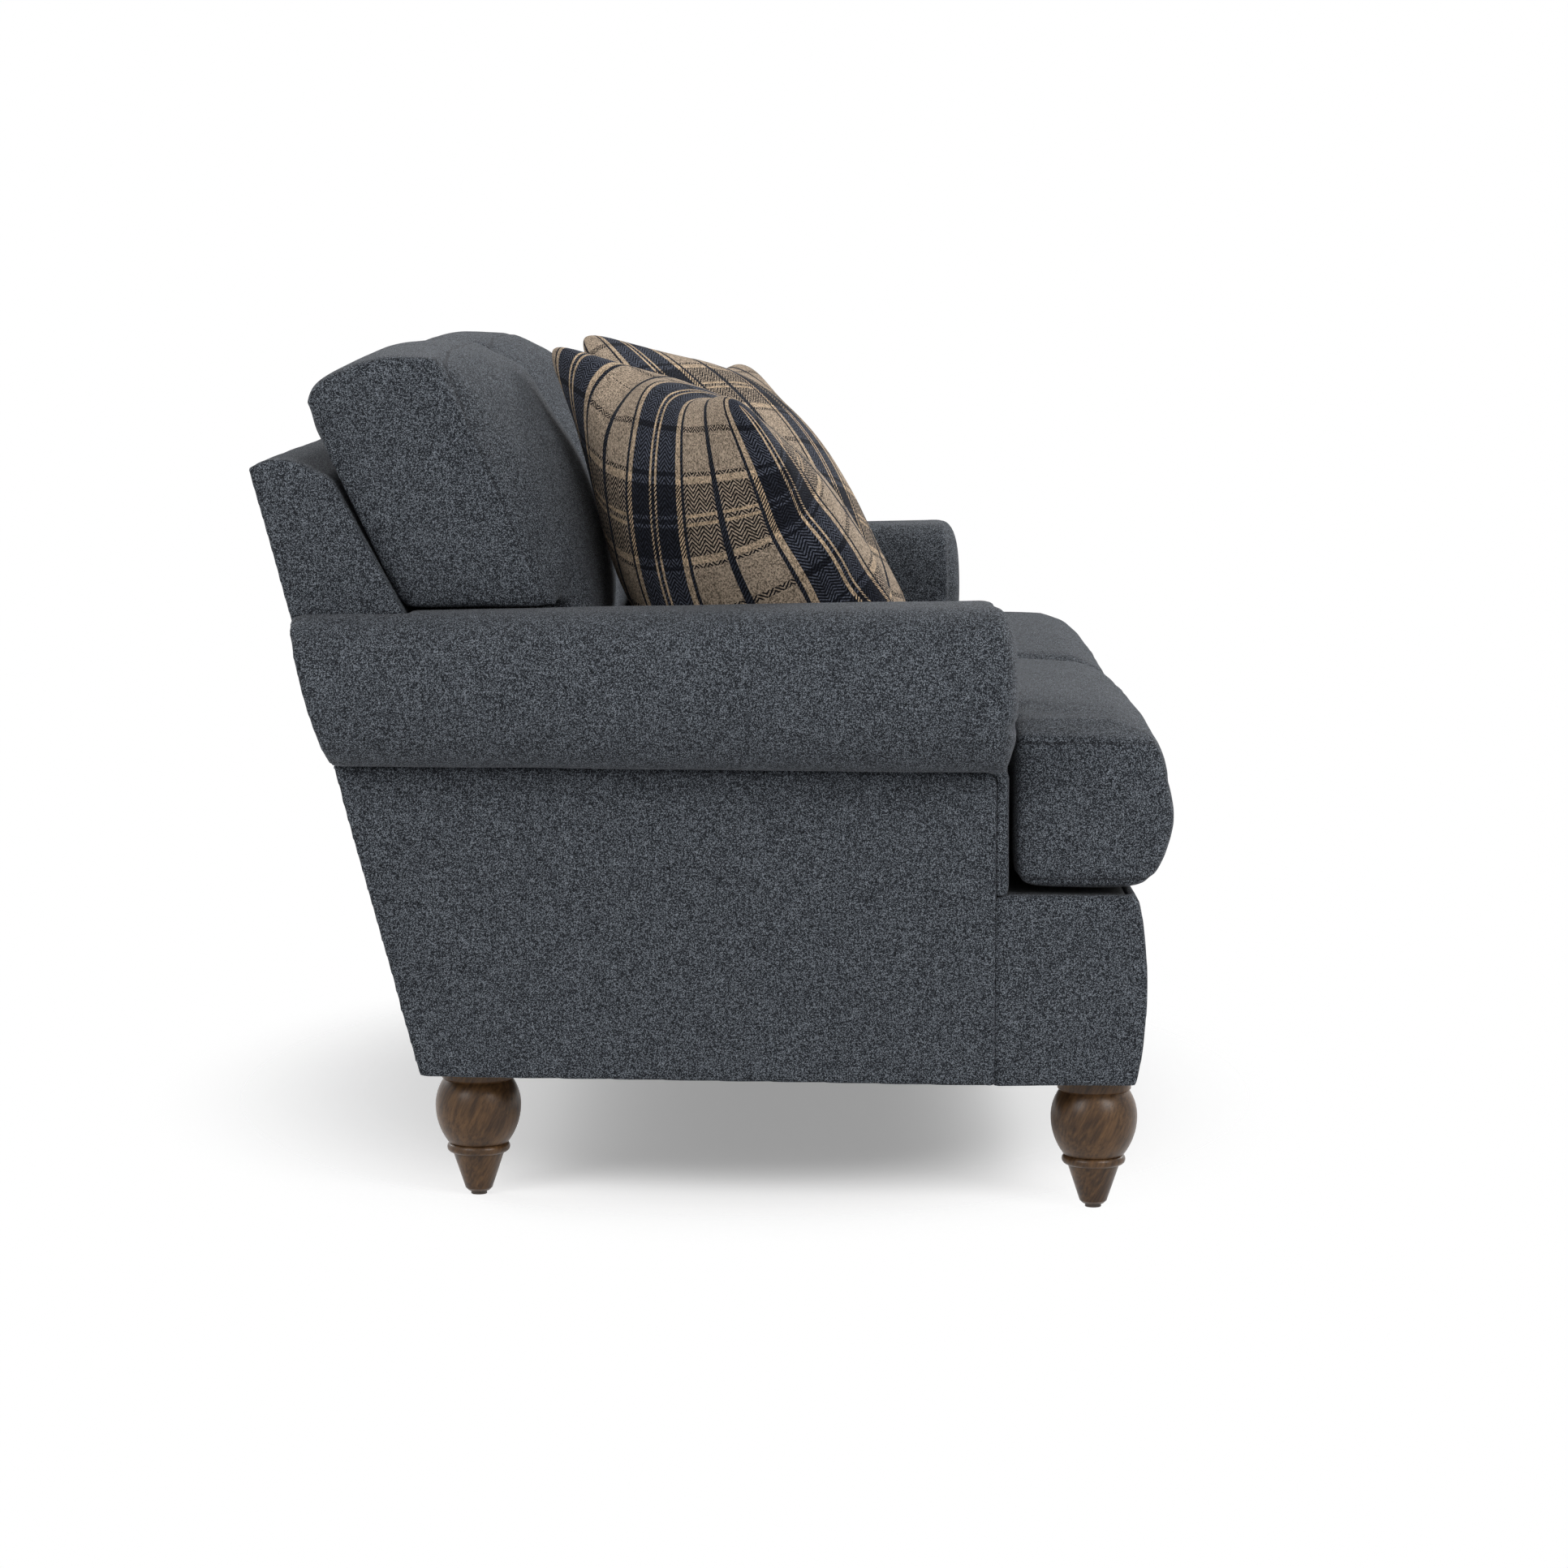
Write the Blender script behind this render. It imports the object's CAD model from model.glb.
import math

import bmesh
import bpy
from mathutils import Matrix, Vector, noise
from mathutils.bvhtree import BVHTree


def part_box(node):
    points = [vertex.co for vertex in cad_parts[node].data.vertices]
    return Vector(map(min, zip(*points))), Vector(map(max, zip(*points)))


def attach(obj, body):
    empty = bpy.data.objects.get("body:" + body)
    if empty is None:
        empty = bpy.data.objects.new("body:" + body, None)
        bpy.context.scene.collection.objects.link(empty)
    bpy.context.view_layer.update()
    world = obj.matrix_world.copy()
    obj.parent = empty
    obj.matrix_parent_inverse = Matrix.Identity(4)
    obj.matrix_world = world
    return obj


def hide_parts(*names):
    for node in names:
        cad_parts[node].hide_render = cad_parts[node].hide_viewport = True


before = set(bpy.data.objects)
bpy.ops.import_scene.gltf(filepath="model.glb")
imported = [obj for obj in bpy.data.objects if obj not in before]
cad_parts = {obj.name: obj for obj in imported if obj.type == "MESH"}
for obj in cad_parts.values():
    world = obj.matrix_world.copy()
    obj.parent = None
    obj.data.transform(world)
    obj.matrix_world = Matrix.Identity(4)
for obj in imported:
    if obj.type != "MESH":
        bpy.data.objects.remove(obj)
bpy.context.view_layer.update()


# Wooden frame: rails, posts, uprights and blocks of sawn softwood, glued and screwed at the corners.
# It is covered all over, so the boards keep their plain sawn faces with pale grain.
def calc(tree, operation, *terms):
    node = tree.nodes.new("ShaderNodeMath")
    node.operation = operation
    for socket, term in zip(node.inputs, terms):
        if isinstance(term, bpy.types.NodeSocket):
            tree.links.new(term, socket)
        else:
            socket.default_value = term
    return node.outputs[0]


def dye(tree, share, first, second):
    node = tree.nodes.new("ShaderNodeMix")
    node.data_type = "RGBA"
    for socket, term in zip((node.inputs[0], node.inputs[6], node.inputs[7]), (share, first, second)):
        if isinstance(term, bpy.types.NodeSocket):
            tree.links.new(term, socket)
        else:
            socket.default_value = term
    return node.outputs[2]


def mottle(tree, place, scale, detail=2.0, rough=0.5):
    node = tree.nodes.new("ShaderNodeTexNoise")
    node.inputs["Scale"].default_value = scale
    node.inputs["Detail"].default_value = detail
    node.inputs["Roughness"].default_value = rough
    tree.links.new(place, node.inputs["Vector"])
    return node.outputs[0]


def step_up(tree, value, low, high):
    node = tree.nodes.new("ShaderNodeMapRange")
    node.interpolation_type = "SMOOTHSTEP"
    tree.links.new(value, node.inputs[0])
    node.inputs[1].default_value = low
    node.inputs[2].default_value = high
    return node.outputs[0]


def shader_group(name, inputs, outputs):
    group = bpy.data.node_groups.new(name, "ShaderNodeTree")
    for label, kind, value in inputs:
        socket = group.interface.new_socket(label, in_out="INPUT", socket_type=kind)
        socket.default_value = value
    for label, kind in outputs:
        group.interface.new_socket(label, in_out="OUTPUT", socket_type=kind)
    return group, group.nodes.new("NodeGroupInput").outputs, group.nodes.new("NodeGroupOutput").inputs


def finish_of(name, group, values, bump, **constants):
    material = bpy.data.materials.new(name)
    material.use_nodes = True
    tree = material.node_tree
    shader = tree.nodes["Principled BSDF"]
    for socket, value in constants.items():
        shader.inputs[socket.replace("_", " ").title().replace("Ior", "IOR")].default_value = value
    pattern = tree.nodes.new("ShaderNodeGroup")
    pattern.node_tree = group
    for socket, value in values.items():
        pattern.inputs[socket].default_value = value
    relief = tree.nodes.new("ShaderNodeBump")
    relief.inputs["Strength"].default_value = bump[0]
    relief.inputs["Distance"].default_value = bump[1]
    tree.links.new(pattern.outputs["Colour"], shader.inputs["Base Color"])
    tree.links.new(pattern.outputs["Roughness"], shader.inputs["Roughness"])
    tree.links.new(pattern.outputs["Height"], relief.inputs["Height"])
    tree.links.new(relief.outputs["Normal"], shader.inputs["Normal"])
    return material


def grain_group():
    group, given, out = shader_group(
        "wood_grain",
        [
            ("Dark", "NodeSocketColor", (0.1, 0.05, 0.03, 1)),
            ("Pale", "NodeSocketColor", (0.3, 0.2, 0.1, 1)),
            ("Slant", "NodeSocketFloat", 0.0),
            ("Gloss", "NodeSocketFloat", 0.5),
        ],
        [("Colour", "NodeSocketColor"), ("Roughness", "NodeSocketFloat"), ("Height", "NodeSocketFloat")],
    )
    place = group.nodes.new("ShaderNodeTexCoord").outputs["Object"]
    turn = group.nodes.new("ShaderNodeVectorRotate")
    turn.rotation_type = "X_AXIS"
    group.links.new(place, turn.inputs["Vector"])
    group.links.new(given["Slant"], turn.inputs["Angle"])
    long_way = group.nodes.new("ShaderNodeMapping")
    long_way.inputs["Scale"].default_value = (1.0, 1.0, 0.14)
    group.links.new(turn.outputs[0], long_way.inputs["Vector"])
    cloud = mottle(group, long_way.outputs[0], 55.0, 3.0, 0.6)
    figure = mottle(group, long_way.outputs[0], 300.0, 3.0, 0.6)
    pores = mottle(group, long_way.outputs[0], 900.0, 2.0, 0.6)
    tone = calc(group, "MULTIPLY_ADD", cloud, 0.75, -0.18)
    tone = calc(group, "MULTIPLY_ADD", figure, 0.85, calc(group, "SUBTRACT", tone, 0.12))
    tone = step_up(group, tone, 0.2, 0.9)
    open_pore = step_up(group, pores, 0.6, 0.72)
    body = dye(group, tone, given["Dark"], given["Pale"])
    pore_shade = calc(group, "MULTIPLY", open_pore, 0.55)
    ridges = calc(group, "MULTIPLY", tone, 0.3)
    group.links.new(dye(group, pore_shade, body, (0.012, 0.007, 0.004, 1)), out["Colour"])
    group.links.new(calc(group, "MULTIPLY_ADD", open_pore, 0.25, given["Gloss"]), out["Roughness"])
    group.links.new(calc(group, "MULTIPLY_ADD", open_pore, -1.0, ridges), out["Height"])
    return group


def cover_nodes(material, *nodes):
    for node in nodes:
        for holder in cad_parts[node].material_slots:
            holder.material = material


wood_grain = grain_group()
frame_pine = finish_of(
    "frame_pine",
    wood_grain,
    {"Dark": (0.42, 0.27, 0.14, 1), "Pale": (0.66, 0.48, 0.29, 1), "Slant": 0.0, "Gloss": 0.62},
    (0.25, 0.0006),
)
cover_nodes(
    frame_pine,
    *[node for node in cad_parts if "rail" in node or "post" in node],
    "back_upright", "seat_stretcher", "corner_blocks",
)


# Sinuous springs with their clips and ties, the bolts and plates of the legs: drawn and pressed steel.
# Clips are nailed to the rails and bolts pass through the blocks, so all keep their dull zinc skin.
def steel_group():
    group, given, out = shader_group(
        "zinc_skin",
        [("Metal", "NodeSocketColor", (0.5, 0.5, 0.5, 1))],
        [("Colour", "NodeSocketColor"), ("Roughness", "NodeSocketFloat"), ("Height", "NodeSocketFloat")],
    )
    place = group.nodes.new("ShaderNodeTexCoord").outputs["Object"]
    spangle = mottle(group, place, 220.0, 3.0)
    stain = step_up(group, mottle(group, place, 40.0, 2.0), 0.45, 0.75)
    dulled = calc(group, "MULTIPLY", stain, 0.45)
    group.links.new(dye(group, dulled, given["Metal"], (0.2, 0.17, 0.14, 1)), out["Colour"])
    group.links.new(calc(group, "MULTIPLY_ADD", spangle, 0.3, 0.25), out["Roughness"])
    group.links.new(spangle, out["Height"])
    return group


zinc_steel = finish_of(
    "zinc_steel", steel_group(), {"Metal": (0.52, 0.53, 0.54, 1)}, (0.1, 0.0003), metallic=1.0
)
cover_nodes(zinc_steel, "seat_springs", "spring_clips", "spring_ties", "leg_bolts", "leg_plates")


# Back webbing: eight bands of stretched woven jute, tacked to the top and seat rails.
# The weave group serves every cloth but the pillows' plaid: it finds the thread grid from the way a face
# looks, crosses warp over weft, and gives each yarn its own uneven shade.
def weave_group():
    group, given, out = shader_group(
        "cloth_weave",
        [
            ("Thread", "NodeSocketFloat", 0.002),
            ("Dark", "NodeSocketColor", (0.01, 0.01, 0.012, 1)),
            ("Middle", "NodeSocketColor", (0.05, 0.055, 0.06, 1)),
            ("Light", "NodeSocketColor", (0.2, 0.22, 0.24, 1)),
            ("Seam Thread", "NodeSocketColor", (0.01, 0.01, 0.012, 1)),
        ],
        [("Colour", "NodeSocketColor"), ("Roughness", "NodeSocketFloat"), ("Height", "NodeSocketFloat")],
    )
    spot = group.nodes.new("ShaderNodeTexCoord")
    place = group.nodes.new("ShaderNodeSeparateXYZ")
    facing = group.nodes.new("ShaderNodeSeparateXYZ")
    group.links.new(spot.outputs["Object"], place.inputs[0])
    group.links.new(spot.outputs["Normal"], facing.inputs[0])
    lean = [calc(group, "ABSOLUTE", facing.outputs[axis]) for axis in range(3)]
    sideways = calc(group, "GREATER_THAN", lean[0], calc(group, "MAXIMUM", lean[1], lean[2]))
    upward = calc(group, "GREATER_THAN", lean[2], calc(group, "MAXIMUM", lean[0], lean[1]))

    def either(share, first, second):
        return calc(group, "MULTIPLY_ADD", calc(group, "SUBTRACT", second, first), share, first)

    across = calc(group, "DIVIDE", either(sideways, place.outputs[0], place.outputs[1]), given["Thread"])
    along = calc(group, "DIVIDE", either(upward, place.outputs[2], place.outputs[1]), given["Thread"])
    warp = calc(group, "FLOOR", across)
    weft = calc(group, "FLOOR", along)
    weft_on_top = calc(group, "FLOORED_MODULO", calc(group, "ADD", warp, weft), 2.0)

    def spot_on_yarn(index, run, shift):
        where = group.nodes.new("ShaderNodeCombineXYZ")
        group.links.new(calc(group, "ADD", index, shift), where.inputs[0])
        group.links.new(run, where.inputs[1])
        return where.outputs[0]

    def fleck(index, run, shift):
        node = group.nodes.new("ShaderNodeTexWhiteNoise")
        node.noise_dimensions = "2D"
        cell = calc(group, "FLOOR", calc(group, "MULTIPLY", run, 0.5))
        group.links.new(spot_on_yarn(index, cell, shift), node.inputs["Vector"])
        return node.outputs["Value"]

    def slub(index, run, shift):
        yarn = calc(group, "MULTIPLY", index, 1.731)
        length = calc(group, "MULTIPLY", run, 0.045)
        return mottle(group, spot_on_yarn(yarn, length, shift), 1.0, 1.0)

    warp_round = calc(group, "PINGPONG", across, 0.5)
    weft_round = calc(group, "PINGPONG", along, 0.5)
    rounding = either(weft_on_top, warp_round, weft_round)
    shade = either(weft_on_top, fleck(warp, along, 0.5), fleck(weft, across, 913.5))
    streaks = calc(group, "ADD", slub(warp, along, 7.9), slub(weft, across, 45.2))
    shade = calc(group, "MULTIPLY_ADD", calc(group, "SUBTRACT", streaks, 1.0), 0.4, shade)
    deep = step_up(group, shade, 0.0, 0.7)
    bright = step_up(group, shade, 0.5, 1.1)
    colour = dye(group, deep, given["Dark"], given["Middle"])
    colour = dye(group, bright, colour, given["Light"])
    sewn = group.nodes.new("ShaderNodeAttribute")
    sewn.attribute_name = "seam"
    off_seam = calc(group, "ABSOLUTE", calc(group, "SUBTRACT", sewn.outputs["Fac"], 0.05))
    on_seam = calc(group, "SUBTRACT", 1.0, step_up(group, off_seam, 0.0006, 0.0022))
    colour = dye(group, calc(group, "MULTIPLY", on_seam, 0.45), colour, given["Seam Thread"])
    group.links.new(colour, out["Colour"])
    group.links.new(calc(group, "MULTIPLY_ADD", bright, -0.12, 0.92), out["Roughness"])
    height = calc(group, "MULTIPLY_ADD", rounding, 1.4, calc(group, "MULTIPLY", shade, 0.5))
    group.links.new(calc(group, "SUBTRACT", height, calc(group, "MULTIPLY", on_seam, 1.5)), out["Height"])
    return group


cloth_weave = weave_group()
jute = finish_of(
    "jute_webbing",
    cloth_weave,
    {
        "Thread": 0.0024,
        "Dark": (0.12, 0.07, 0.035, 1),
        "Middle": (0.34, 0.22, 0.12, 1),
        "Light": (0.55, 0.4, 0.25, 1),
    },
    (0.4, 0.0008),
)
cover_nodes(jute, "back_webbing")


# Legs: turned from stained hardwood, satin lacquered, with a ball over a ring and a cone foot.
# The grain runs down each leg on a slant, and a small moulded glide is nailed into each foot.
walnut_stain = finish_of(
    "walnut_stain",
    wood_grain,
    {"Dark": (0.026, 0.0115, 0.0042, 1), "Pale": (0.155, 0.08, 0.032, 1), "Slant": -0.45, "Gloss": 0.33},
    (0.12, 0.0004),
    specular_ior_level=0.3,
    coat_weight=0.08,
    coat_roughness=0.35,
)
cover_nodes(walnut_stain, "leg_front_left", "leg_front_right", "leg_rear_left", "leg_rear_right")
glide_brown = finish_of(
    "glide_brown",
    wood_grain,
    {"Dark": (0.03, 0.018, 0.011, 1), "Pale": (0.06, 0.038, 0.025, 1), "Slant": 0.0, "Gloss": 0.45},
    (0.05, 0.0003),
)
cover_nodes(glide_brown, "leg_glides")


# Dust cover: a sheet of thin black spunbonded cloth stapled under the rails, cut out round the legs.
# It is pulled flat, but ripples by a millimetre or so between its staples.
def set_out(name, shell):
    mesh = bpy.data.meshes.new(name)
    shell.to_mesh(mesh)
    shell.free()
    piece = bpy.data.objects.new(name, mesh)
    bpy.context.scene.collection.objects.link(piece)
    return piece


def loose_copy(name, *nodes):
    shell = bmesh.new()
    for node in nodes:
        shell.from_mesh(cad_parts[node].data)
    bmesh.ops.remove_doubles(shell, verts=shell.verts, dist=0.00005)
    return set_out(name, shell)


sheet_pitch = 0.06
sheet_ripple = 0.0015


def dust_sheet():
    piece = loose_copy("dust_sheet", "dust_cover")
    sheet = bmesh.new()
    sheet.from_mesh(piece.data)
    upper = [face for face in sheet.faces if face.normal.z > -0.5]
    bmesh.ops.delete(sheet, geom=upper, context="FACES")
    bmesh.ops.triangulate(sheet, faces=sheet.faces)
    for direction, start, cuts in (((1, 0, 0), -0.72, 24), ((0, 1, 0), -0.42, 13)):
        for cut in range(cuts):
            spot = [part * (start + sheet_pitch * cut) for part in direction]
            whole = list(sheet.verts) + list(sheet.edges) + list(sheet.faces)
            bmesh.ops.bisect_plane(sheet, geom=whole, plane_co=spot, plane_no=direction)
    bmesh.ops.remove_doubles(sheet, verts=sheet.verts, dist=0.0002)
    for vert in sheet.verts:
        if not vert.is_boundary:
            vert.co.z += sheet_ripple * noise.noise(vert.co * 9.0)
    area = sum(face.calc_area() for face in sheet.faces)
    sheet.to_mesh(piece.data)
    sheet.free()
    low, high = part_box("dust_cover")
    return piece, area, (high.x - low.x, high.y - low.y)


spunbond = finish_of(
    "spunbond_black",
    cloth_weave,
    {
        "Thread": 0.0016,
        "Dark": (0.008, 0.008, 0.008, 1),
        "Middle": (0.016, 0.016, 0.017, 1),
        "Light": (0.035, 0.035, 0.037, 1),
    },
    (0.2, 0.0004),
)
dust_cloth, dust_area, dust_size = dust_sheet()
dust_cloth.data.materials.append(spunbond)
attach(dust_cloth, "frame")
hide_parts("dust_cover")


# Seat deck: a felt pad under plain dark lining cloth, drawn over the springs and tacked to the rails.
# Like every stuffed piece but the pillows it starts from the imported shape, is remeshed and softened.
def part_way(value):
    return max(0.0, min(1.0, value))


def hump(offset, width):
    return math.exp(-((offset / width) ** 2))


def settle(piece):
    graph = bpy.context.evaluated_depsgraph_get()
    done = bpy.data.meshes.new_from_object(piece.evaluated_get(graph))
    piece.modifiers.clear()
    piece.data = done
    done.name = piece.name


def soften(piece, voxel, rounds, swell=0.0):
    shell = piece.modifiers.new("Even", "REMESH")
    shell.mode = "VOXEL"
    shell.voxel_size = voxel
    ease = piece.modifiers.new("Ease", "SMOOTH")
    ease.factor = 0.5
    ease.iterations = rounds
    settle(piece)
    if swell:
        directions = [vert.normal.copy() for vert in piece.data.vertices]
        for vert, direction in zip(piece.data.vertices, directions):
            vert.co += direction * swell


def uneven(piece, depth, size):
    directions = [vert.normal.copy() for vert in piece.data.vertices]
    for vert, direction in zip(piece.data.vertices, directions):
        vert.co += direction * depth * noise.noise(vert.co / size)


def dress(piece, cloth, body, slot, fill, *nodes):
    piece.data.materials.clear()
    piece.data.materials.append(cloth)
    piece.data.shade_smooth()
    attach(piece, body)
    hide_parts(*nodes)


lining = finish_of(
    "deck_lining",
    cloth_weave,
    {
        "Thread": 0.0014,
        "Dark": (0.02, 0.022, 0.025, 1),
        "Middle": (0.034, 0.037, 0.042, 1),
        "Light": (0.07, 0.075, 0.082, 1),
    },
    (0.3, 0.0005),
)
deck = loose_copy("deck_pad", "seat_deck")
soften(deck, voxel=0.009, rounds=2)
uneven(deck, depth=0.0012, size=0.14)
dress(deck, lining, "frame", "deck_cloth", 0.7, "seat_deck")


# Front border: padding over the front rail under one strip of the cover cloth that turns both corners.
# The cover cloth is a slate tweed of dark and pale yarns, on every fixed pad and every loose cushion.
slate_tweed = finish_of(
    "slate_tweed",
    cloth_weave,
    {
        "Thread": 0.0008,
        "Dark": (0.0052, 0.006, 0.0077, 1),
        "Middle": (0.035, 0.0395, 0.048, 1),
        "Light": (0.228, 0.253, 0.286, 1),
    },
    (0.35, 0.0006),
    specular_ior_level=0.15,
    sheen_weight=0.08,
    sheen_roughness=0.4,
    sheen_tint=(0.9, 0.9, 0.92, 1),
)
border_nodes = ("front_border", "border_return_left", "border_return_right")
border = loose_copy("border_pad", *border_nodes)
soften(border, voxel=0.0055, rounds=4, swell=0.0012)
uneven(border, depth=0.0009, size=0.11)
dress(border, slate_tweed, "frame", "upholstery", 0.8, *border_nodes)


# Arms: a roll of padding on the arm's top rail, and a facing that closes its front, under one cover.
# Below the roll the outside panel is drawn tight over the frame, blind tacked under the roll.
def other_hand(piece, name):
    twin = bmesh.new()
    twin.from_mesh(piece.data)
    bmesh.ops.scale(twin, vec=(-1, 1, 1), verts=twin.verts)
    bmesh.ops.reverse_faces(twin, faces=twin.faces)
    return set_out(name, twin)


roll_centre = Vector((-0.751, 0, 0.565))
roll_radius = 0.087
pleat_height = 0.529
facing_rear = -0.27
facing_depth = 0.035
scroll_foot = 0.47
scroll_curl = 0.016
scroll_bulge = 0.007
pleat_depth = 0.006


def shape_facing(piece):
    for vert in piece.data.vertices:
        point = vert.co
        if point.y > facing_rear:
            continue
        near_front = min(1.0, (facing_rear - point.y) / facing_depth)
        off = math.hypot(point.x - roll_centre.x, point.z - roll_centre.z) / roll_radius
        on_scroll = part_way((point.z - scroll_foot) / 0.04)
        point.y += near_front * on_scroll * (scroll_curl * min(off, 1.05) ** 4 - scroll_bulge)
        outer = part_way((-0.725 - point.x) / 0.05)
        point.y += pleat_depth * near_front * outer * hump(point.z - pleat_height, 0.006)


arm_left = loose_copy("arm_pad_left", "arm_roll_left", "arm_facing_left")
soften(arm_left, voxel=0.0055, rounds=6, swell=0.0008)
shape_facing(arm_left)
uneven(arm_left, depth=0.0010, size=0.12)
panel_left = loose_copy("arm_panel_left", "outside_arm_left")
soften(panel_left, voxel=0.005, rounds=2, swell=0.0014)
uneven(panel_left, depth=0.0006, size=0.13)
arm_right = other_hand(arm_left, "arm_pad_right")
panel_right = other_hand(panel_left, "arm_panel_right")
dress(arm_left, slate_tweed, "frame", "upholstery", 0.85, "arm_roll_left", "arm_facing_left")
dress(arm_right, slate_tweed, "frame", "upholstery", 0.85, "arm_roll_right", "arm_facing_right")
dress(panel_left, slate_tweed, "frame", "upholstery", 0.4, "outside_arm_left")
dress(panel_right, slate_tweed, "frame", "upholstery", 0.4, "outside_arm_right")


# Fixed back: padding over the webbing and the top rail, two end panels, and the outside back panel.
# The cover folds over the top and is closed by the ends; the outside back is tacked on last.
back = loose_copy("back_pad", "inside_back", "back_top_pad")
soften(back, voxel=0.007, rounds=4, swell=0.001)
uneven(back, depth=0.0010, size=0.13)
dress(back, slate_tweed, "frame", "upholstery", 0.8, "inside_back", "back_top_pad")
end_left = loose_copy("back_side_left", "back_end_left")
soften(end_left, voxel=0.0045, rounds=3, swell=0.001)
end_right = other_hand(end_left, "back_side_right")
dress(end_left, slate_tweed, "frame", "upholstery", 0.6, "back_end_left")
dress(end_right, slate_tweed, "frame", "upholstery", 0.6, "back_end_right")
rear = loose_copy("back_panel", "outside_back")
soften(rear, voxel=0.006, rounds=2, swell=0.0014)
uneven(rear, depth=0.0008, size=0.16)
dress(rear, slate_tweed, "frame", "upholstery", 0.4, "outside_back")


# Seat cushions: foam in a boxed case of the cover cloth, with an ear in front of each arm.
# The case is sewn round its top and bottom edges, and swells a little between its seams.
def stuff(piece, pressure, most, frames, bend=0.5):
    rest = [vert.co.copy() for vert in piece.data.vertices]
    cloth = piece.modifiers.new("Stuffing", "CLOTH")
    cloth.settings.quality = 4
    cloth.settings.bending_stiffness = bend
    cloth.settings.use_pressure = True
    cloth.settings.uniform_pressure_force = pressure
    cloth.settings.effector_weights.gravity = 0
    cloth.collision_settings.use_collision = False
    cloth.point_cache.frame_end = frames
    for step in range(1, frames + 1):
        bpy.context.scene.frame_set(step)
    settle(piece)
    bpy.context.scene.frame_set(1)
    for vert, start in zip(piece.data.vertices, rest):
        move = vert.co - start
        if move.length > most:
            vert.co = start + move * (most / move.length)


def seam_round(piece, marks, depth, width):
    line = piece.data.attributes.new("seam", "FLOAT", "POINT")
    directions = [vert.normal.copy() for vert in piece.data.vertices]
    for vert, direction in zip(piece.data.vertices, directions):
        gap = min((mark(vert.co) for mark in marks), key=abs)
        line.data[vert.index].value = 0.05 + max(-0.04, min(0.04, gap))
        vert.co -= direction * depth * hump(gap, width)


def fill_case(piece, node):
    even = piece.modifiers.new("Even", "SUBSURF")
    even.levels = even.render_levels = 1
    settle(piece)
    low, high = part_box(node)
    points = [vert.co for vert in piece.data.vertices]
    for axis in range(3):
        least = min(point[axis] for point in points)
        most = max(point[axis] for point in points)
        stretch = (high[axis] - low[axis]) / (most - least)
        for point in points:
            point[axis] = low[axis] + (point[axis] - least) * stretch


def relax(piece, rounds, *places):
    case = bmesh.new()
    case.from_mesh(piece.data)
    groups = [[vert for vert in case.verts if place(vert.co)] for place in places]
    for step in range(rounds):
        for verts in groups:
            bmesh.ops.smooth_vert(
                case, verts=verts, factor=0.5, use_axis_x=True, use_axis_y=True, use_axis_z=True
            )
    case.to_mesh(piece.data)
    case.free()


ear_inner = -0.6
ear_front = -0.46
ear_draw = 0.006
nose_rear = -0.36
nose_height = 0.465
nose_push = 0.007
nose_swell = 0.014
crown_height = 0.505
crown_rise = 0.012
crown_rear = -0.05


def seat_top_seam(point):
    return point.z - 0.508


def seat_low_seam(point):
    return point.z - 0.362


def on_seat_ear(point):
    return point.x < -0.59 and point.y < -0.3 and point.z < 0.5


def on_low_edge(point):
    return point.z < 0.40 and point.y < -0.3


def shape_seat(piece):
    for vert in piece.data.vertices:
        point = vert.co
        if point.x < ear_inner and point.y > ear_front:
            point.y += ear_draw * min(1.0, (point.y - ear_front) / 0.08)
        if point.y < nose_rear:
            front = min(1.0, (nose_rear - point.y) / 0.07)
            point.y -= front * (nose_push + nose_swell * part_way((point.z - nose_height) / 0.045))
        if point.z > crown_height:
            inside = min(1.0, (point.x + 0.748) / 0.06, (point.y + 0.485) / 0.05, 0.5 - point.x / 0.08)
            forward = part_way((crown_rear - point.y) / 0.2)
            point.z += crown_rise * max(0.0, inside) * forward


seat_left = loose_copy("seat_pad_left", "seat_cushion_left")
soften(seat_left, voxel=0.0095, rounds=2, swell=-0.002)
stuff(seat_left, pressure=4.0, most=0.006, frames=20)
relax(seat_left, 6, on_seat_ear, on_low_edge)
fill_case(seat_left, "seat_cushion_left")
shape_seat(seat_left)
uneven(seat_left, depth=0.0010, size=0.12)
seam_round(seat_left, (seat_top_seam, seat_low_seam), depth=0.0015, width=0.004)
seat_right = other_hand(seat_left, "seat_pad_right")
dress(seat_left, slate_tweed, "seat_cushion_left", "upholstery", 0.85, "seat_cushion_left")
dress(seat_right, slate_tweed, "seat_cushion_right", "upholstery", 0.85, "seat_cushion_right")


# Back cushions: fibre-filled boxed cases that lean on the fixed back, with an ear over each arm.
# They are fuller than the seats, and their front panels are sewn to the boxing with a plain seam.
rest_ear_inner = -0.59
rest_ear_top = 0.74
rest_ear_drop = 0.007
rest_crown_drop = 0.0055
rest_brow_rise = 0.013
rest_rear_fill = 0.013
rest_gap = 0.004
rearward = Vector((0, 0.9026, -0.4305))


def front_seam(point):
    return (point.y - 0.2855) * -0.923 + (point.z - 0.915) * 0.384


def on_rear_edge(point):
    return point.y > 0.37 and point.z > 0.82


def shape_rest(piece):
    for vert in piece.data.vertices:
        point = vert.co
        if point.x < rest_ear_inner and point.z < rest_ear_top:
            point.z -= rest_ear_drop * min(1.0, (rest_ear_top - point.z) / 0.06)
        near_top = part_way((point.z - 0.83) / 0.04)
        near_rear = part_way((point.y - 0.36) / 0.04)
        crown = -rest_crown_drop * hump(point.y - 0.315, 0.045)
        brow = rest_brow_rise * hump(point.y - 0.216, 0.032)
        point.y += rest_rear_fill * near_rear * hump(point.z - 0.882, 0.022)
        point.z += near_top * (crown + brow)


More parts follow.
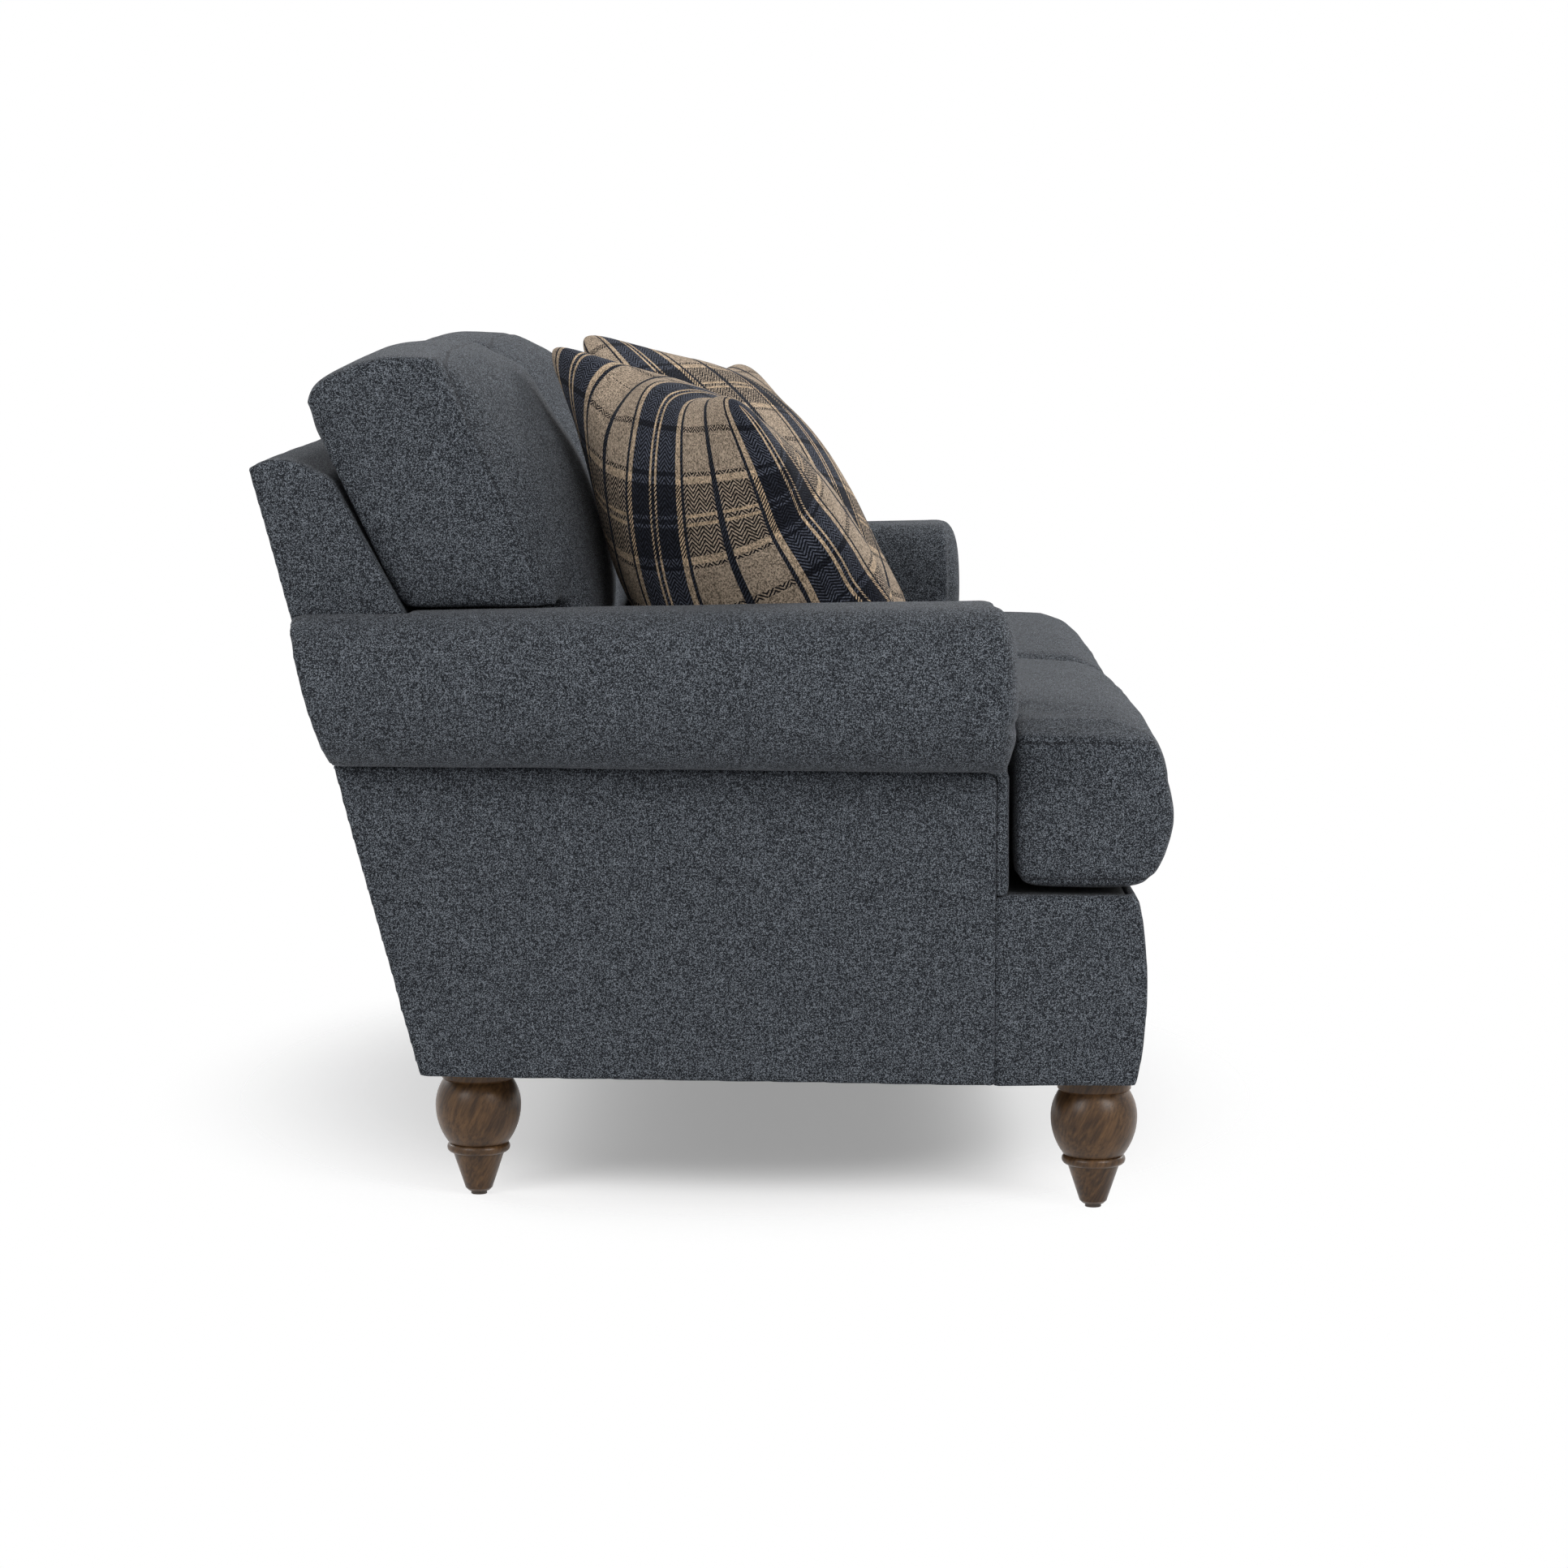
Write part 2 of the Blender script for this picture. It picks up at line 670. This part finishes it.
def clear_of_back(piece, node):
    rear_plane = max(rearward.dot(vert.co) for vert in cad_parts[node].data.vertices)
    pad_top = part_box("back_top_pad")[1].z
    for vert in piece.data.vertices:
        past = rearward.dot(vert.co) - rear_plane + rest_gap
        if past > 0:
            vert.co -= rearward * past * part_way((pad_top + 0.045 - vert.co.z) / 0.04)


rest_left = loose_copy("back_rest_left", "back_cushion_left")
soften(rest_left, voxel=0.0105, rounds=4, swell=-0.003)
stuff(rest_left, pressure=4.0, most=0.008, frames=20)
fill_case(rest_left, "back_cushion_left")
shape_rest(rest_left)
uneven(rest_left, depth=0.0014, size=0.11)
clear_of_back(rest_left, "back_cushion_left")
relax(rest_left, 8, on_rear_edge)
seam_round(rest_left, (front_seam,), depth=0.0012, width=0.004)
rest_right = other_hand(rest_left, "back_rest_right")
dress(rest_left, slate_tweed, "back_cushion_left", "upholstery", 0.75, "back_cushion_left")
dress(rest_right, slate_tweed, "back_cushion_right", "upholstery", 0.75, "back_cushion_right")


# Throw pillows: two squares of woven plaid sewn edge to edge and filled with fibre, with no piping.
# Each stands on the seat against its back cushion; its cloth is tan and navy in a herringbone twill.
def plaid_group():
    group, given, out = shader_group(
        "plaid_weave",
        [
            ("Tan", "NodeSocketColor", (0.39, 0.31, 0.235, 1)),
            ("Cream", "NodeSocketColor", (0.6, 0.45, 0.3, 1)),
            ("Navy", "NodeSocketColor", (0.004, 0.0046, 0.0078, 1)),
            ("Blue", "NodeSocketColor", (0.082, 0.091, 0.119, 1)),
        ],
        [("Colour", "NodeSocketColor"), ("Roughness", "NodeSocketFloat"), ("Height", "NodeSocketFloat")],
    )
    cloth = group.nodes.new("ShaderNodeUVMap")
    cloth.uv_map = "cloth"
    place = group.nodes.new("ShaderNodeSeparateXYZ")
    group.links.new(cloth.outputs[0], place.inputs[0])

    half_repeat = 0.094
    band_edge = 0.035
    pale_edge = 0.0425
    line_edge = 0.0468
    middle_line = 0.0902

    def between(value, low, high):
        above = calc(group, "GREATER_THAN", value, low)
        below = calc(group, "LESS_THAN", value, high)
        return calc(group, "MULTIPLY", above, below)

    def stripes(run):
        off = calc(group, "PINGPONG", run, half_repeat)
        band = calc(group, "LESS_THAN", off, band_edge)
        twin = between(off, 0.0025, 0.0058)
        edge = between(off, band_edge, pale_edge)
        lone = calc(group, "GREATER_THAN", off, middle_line)
        line = calc(group, "MAXIMUM", between(off, pale_edge, line_edge), lone)
        return band, twin, edge, line

    across, along = place.outputs[0], place.outputs[1]
    warp_band, warp_twin, warp_edge, warp_line = stripes(across)
    weft_band, weft_twin, weft_edge, weft_line = stripes(along)
    chevron = calc(group, "ADD", along, calc(group, "PINGPONG", across, 0.0085))
    twill = calc(group, "GREATER_THAN", calc(group, "PINGPONG", chevron, 0.0023), 0.00115)
    slope = calc(group, "ADD", along, across)
    hatch = calc(group, "GREATER_THAN", calc(group, "PINGPONG", slope, 0.0021), 0.00105)
    snap = group.nodes.new("ShaderNodeVectorMath")
    snap.operation = "SNAP"
    snap.inputs[1].default_value = (0.0011, 0.0014, 1.0)
    group.links.new(cloth.outputs[0], snap.inputs[0])
    speck = group.nodes.new("ShaderNodeTexWhiteNoise")
    speck.noise_dimensions = "2D"
    group.links.new(snap.outputs[0], speck.inputs["Vector"])
    fleck = speck.outputs["Value"]
    fade = mottle(group, cloth.outputs[0], 16.0, 2.0)
    not_twill = calc(group, "SUBTRACT", 1.0, twill)
    colour = dye(group, calc(group, "MULTIPLY", weft_band, twill), given["Tan"], given["Navy"])
    colour = dye(group, calc(group, "MULTIPLY", weft_twin, 0.7), colour, given["Cream"])
    colour = dye(group, calc(group, "MULTIPLY", weft_edge, 0.45), colour, given["Cream"])
    colour = dye(group, calc(group, "MULTIPLY", weft_line, twill), colour, given["Navy"])
    off_band = calc(group, "SUBTRACT", 1.0, calc(group, "MULTIPLY", weft_band, 0.75))
    over_blue = calc(group, "MULTIPLY", not_twill, off_band)
    over_blue = calc(group, "MAXIMUM", over_blue, calc(group, "MULTIPLY", weft_twin, not_twill))
    band_cloth = dye(group, over_blue, given["Navy"], given["Blue"])
    band_cloth = dye(group, calc(group, "MULTIPLY", weft_line, 0.8), band_cloth, given["Navy"])
    colour = dye(group, warp_band, colour, band_cloth)
    pale_show = calc(group, "SUBTRACT", 1.0, calc(group, "MULTIPLY", weft_band, hatch))
    plain = calc(group, "SUBTRACT", 1.0, calc(group, "MAXIMUM", weft_band, weft_edge))
    soft_edge = calc(group, "MULTIPLY", warp_edge, calc(group, "MULTIPLY_ADD", plain, -0.5, 0.95))
    pale_line = calc(group, "MAXIMUM", calc(group, "MULTIPLY", warp_twin, 0.9), soft_edge)
    colour = dye(group, pale_line, colour, dye(group, pale_show, given["Navy"], given["Cream"]))
    thin_line = dye(group, calc(group, "MULTIPLY", hatch, 0.45), given["Navy"], given["Blue"])
    colour = dye(group, warp_line, colour, thin_line)
    worn = calc(group, "MULTIPLY_ADD", fleck, 1.35, calc(group, "MULTIPLY_ADD", fade, 0.3, 0.13))
    shaded = group.nodes.new("ShaderNodeVectorMath")
    shaded.operation = "SCALE"
    group.links.new(colour, shaded.inputs[0])
    group.links.new(worn, shaded.inputs["Scale"])
    group.links.new(shaded.outputs[0], out["Colour"])
    group.links.new(calc(group, "MULTIPLY_ADD", fleck, 0.15, 0.82), out["Roughness"])
    group.links.new(calc(group, "MULTIPLY_ADD", twill, 0.5, fleck), out["Height"])
    return group


plaid = finish_of(
    "tan_navy_plaid",
    plaid_group(),
    {},
    (0.3, 0.0006),
    specular_ior_level=0.08,
    sheen_weight=0.02,
    sheen_roughness=0.5,
)
pillow_cut = 0.47
pillow_half = pillow_cut / 2
pillow_side = 0.448
pillow_thick = 0.176
pillow_grid = 24
pillow_rise = 0.055
plaid_shift = 0.093


def pillow_case(name):
    case = bmesh.new()
    weave = case.loops.layers.uv.new("cloth")
    panels = []
    for side in (1, -1):
        grid = bmesh.ops.create_grid(case, x_segments=pillow_grid, y_segments=pillow_grid, size=pillow_half)
        faces = list({face for vert in grid["verts"] for face in vert.link_faces})
        panels.append((side, grid["verts"], faces))
    for side, verts, faces in panels:
        for face in faces:
            for loop in face.loops:
                loop[weave].uv = (loop.vert.co.x + pillow_half, loop.vert.co.y - plaid_shift)
        for vert in verts:
            across = abs(vert.co.x) / pillow_half
            along = abs(vert.co.y) / pillow_half
            fullness = max(0.0, (1 - across ** 2.4) * (1 - along ** 2.4)) ** 0.5
            vert.co.z = side * pillow_rise * fullness
            vert.co.x *= 1 - 0.05 * along ** 6
            vert.co.y *= 1 - 0.05 * across ** 6
        if side < 0:
            bmesh.ops.reverse_faces(case, faces=faces)
    bmesh.ops.remove_doubles(case, verts=case.verts, dist=0.0001)
    return set_out(name, case)


def half_sizes(points):
    return [max(abs(point[axis]) for point in points) for axis in range(2)]


def shape_pillow(points):
    wide, tall = half_sizes(points)
    for point in points:
        across = abs(point.x) / wide
        along = abs(point.y) / tall
        point.z *= 1 - 0.5 * (across * across + along * along - across * across * along * along)
        if point.z < 0:
            point.z *= 1 + back_swell * (0.8 - 0.65 * point.y / tall)
        blunt = 1 - corner_blunt * (across * along) ** 6
        point.x *= blunt * (1 - edge_draw * (1 - along * along))
        point.y *= blunt * (1 - edge_draw * (1 - across * across))
        fold = hump(point.x / wide + 0.45, 0.32) * max(0.0, point.y / tall) ** 3
        point.y -= fold_drop * tall * fold
        point.z *= 1 - 0.25 * fold


def stand_on(piece, seat):
    seat_points = [vert.co for vert in seat.data.vertices]
    skin = BVHTree.FromPolygons(seat_points, [face.vertices for face in seat.data.polygons])
    for vert in piece.data.vertices:
        if vert.co.z < pillow_low:
            above = Vector((vert.co.x, vert.co.y, 0.7))
            spot = skin.ray_cast(above, Vector((0, 0, -1)))[0]
            if spot:
                vert.co.z = max(vert.co.z, spot.z + seat_gap)


pillow_low = 0.58
seat_gap = 0.0005
back_swell = 0.85
corner_blunt = 0.094
edge_draw = 0.06
fold_drop = 0.1
pillow_left = pillow_case("pillow_left")
stuff(pillow_left, pressure=6.0, most=0.2, frames=24, bend=1.0)
ease = pillow_left.modifiers.new("Ease", "SMOOTH")
ease.factor = 0.5
ease.iterations = 3
even = pillow_left.modifiers.new("Even", "SUBSURF")
even.levels = even.render_levels = 2
settle(pillow_left)
points = [vert.co for vert in pillow_left.data.vertices]
shape_pillow(points)
wide, tall = half_sizes(points)
thick = max(point.z for point in points)
fit = Matrix.Diagonal((pillow_side / 2 / wide, pillow_side / 2 / tall, pillow_thick / 2 / thick, 1))
pillow_along = Vector((0.8577, 0.5029, 0.1074))
pillow_upward = Vector((-0.393, 0.507, 0.767))
pillow_outward = pillow_along.cross(pillow_upward)
low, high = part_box("throw_pillow_left")
turn = Matrix((pillow_along, pillow_upward, pillow_outward)).transposed().to_4x4()
pillow_left.data.transform(Matrix.Translation((low + high) / 2) @ turn @ fit)
stand_on(pillow_left, seat_left)
pillow_right = other_hand(pillow_left, "pillow_right")
dress(pillow_left, plaid, "throw_pillow_left", "plaid_cloth", 0.8, "throw_pillow_left")
dress(pillow_right, plaid, "throw_pillow_right", "plaid_cloth", 0.8, "throw_pillow_right")


# Studio: a pale floor that fades into a white backdrop, four soft lamps and a large one overhead.
# The camera looks along the width from the left, pitched a little down.
def seen_plainly(tree):
    paths = tree.nodes.new("ShaderNodeLightPath")
    seen = calc(tree, "MAXIMUM", paths.outputs["Is Camera Ray"], paths.outputs["Is Transmission Ray"])
    return calc(tree, "MAXIMUM", seen, paths.outputs["Is Glossy Ray"])


floor_plan = bmesh.new()
bmesh.ops.create_grid(floor_plan, x_segments=1, y_segments=1, size=6.0)
floor = set_out("studio_floor", floor_plan)
paper = bpy.data.materials.new("white_paper")
paper.use_nodes = True
tree = paper.node_tree
skin = tree.nodes["Principled BSDF"]
skin.inputs["Base Color"].default_value = (0.93, 0.93, 0.93, 1)
skin.inputs["Roughness"].default_value = 0.9
skin.inputs["Specular IOR Level"].default_value = 0.1
spread = tree.nodes.new("ShaderNodeMapping")
spread.inputs["Location"].default_value = (0, 0.05, 0)
spread.inputs["Scale"].default_value = (1 / 0.75, 1 / 0.62, 1)
tree.links.new(tree.nodes.new("ShaderNodeTexCoord").outputs["Object"], spread.inputs["Vector"])
reach = tree.nodes.new("ShaderNodeVectorMath")
reach.operation = "LENGTH"
tree.links.new(spread.outputs[0], reach.inputs[0])
glow = seen_plainly(tree)
faded = calc(tree, "MULTIPLY", step_up(tree, reach.outputs["Value"], 0.6, 1.2), glow)
tree.links.new(calc(tree, "SUBTRACT", 1.0, faded), skin.inputs["Alpha"])
skin.inputs["Emission Color"].default_value = (1, 1, 1, 1)
tree.links.new(calc(tree, "MULTIPLY", glow, 0.29), skin.inputs["Emission Strength"])
floor.data.materials.append(paper)

scene = bpy.context.scene
world = bpy.data.worlds.new("studio")
world.use_nodes = True
scene.world = world
sky = world.node_tree
ambient = 0.22
backdrop = sky.nodes["Background"]
backdrop.inputs["Color"].default_value = (1, 1, 1, 1)
strength = calc(sky, "MULTIPLY_ADD", seen_plainly(sky), 1 - ambient, ambient)
sky.links.new(strength, backdrop.inputs["Strength"])


def soft_lamp(name, place, aim, size, power):
    lamp = bpy.data.lights.new(name, "AREA")
    lamp.shape = "SQUARE"
    lamp.size = size
    lamp.energy = power
    holder = bpy.data.objects.new(name, lamp)
    holder.location = place
    holder.rotation_euler = (Vector(aim) - Vector(place)).to_track_quat("-Z", "Y").to_euler()
    scene.collection.objects.link(holder)


seat_middle = (0, 0, 0.45)
lamp_side = 1.8
soft_lamp("front_softbox", (-3.2, -2.6, 2.6), seat_middle, lamp_side, 76)
soft_lamp("rear_softbox", (-3.2, 2.4, 2.4), seat_middle, lamp_side, 52)
soft_lamp("far_softbox", (2.6, -3.0, 2.6), seat_middle, lamp_side, 88)
soft_lamp("back_softbox", (2.4, 3.2, 2.4), seat_middle, lamp_side, 45)
soft_lamp("overhead_softbox", (0, 0, 3.4), (0, 0, 0), 3.0, 23)

focal_pixels = 5166
picture_pixels = 1932
pitch_pixels = 641
view = bpy.data.cameras.new("photo_camera")
view.sensor_width = 36
view.lens = 36 * focal_pixels / picture_pixels
camera = bpy.data.objects.new("photo_camera", view)
camera.location = (-5.1209, -0.079, 1.00745)
camera.rotation_euler = (math.radians(90) - math.atan2(pitch_pixels, focal_pixels), 0, math.radians(-90))
scene.collection.objects.link(camera)
scene.camera = camera
scene.view_settings.view_transform = "Standard"
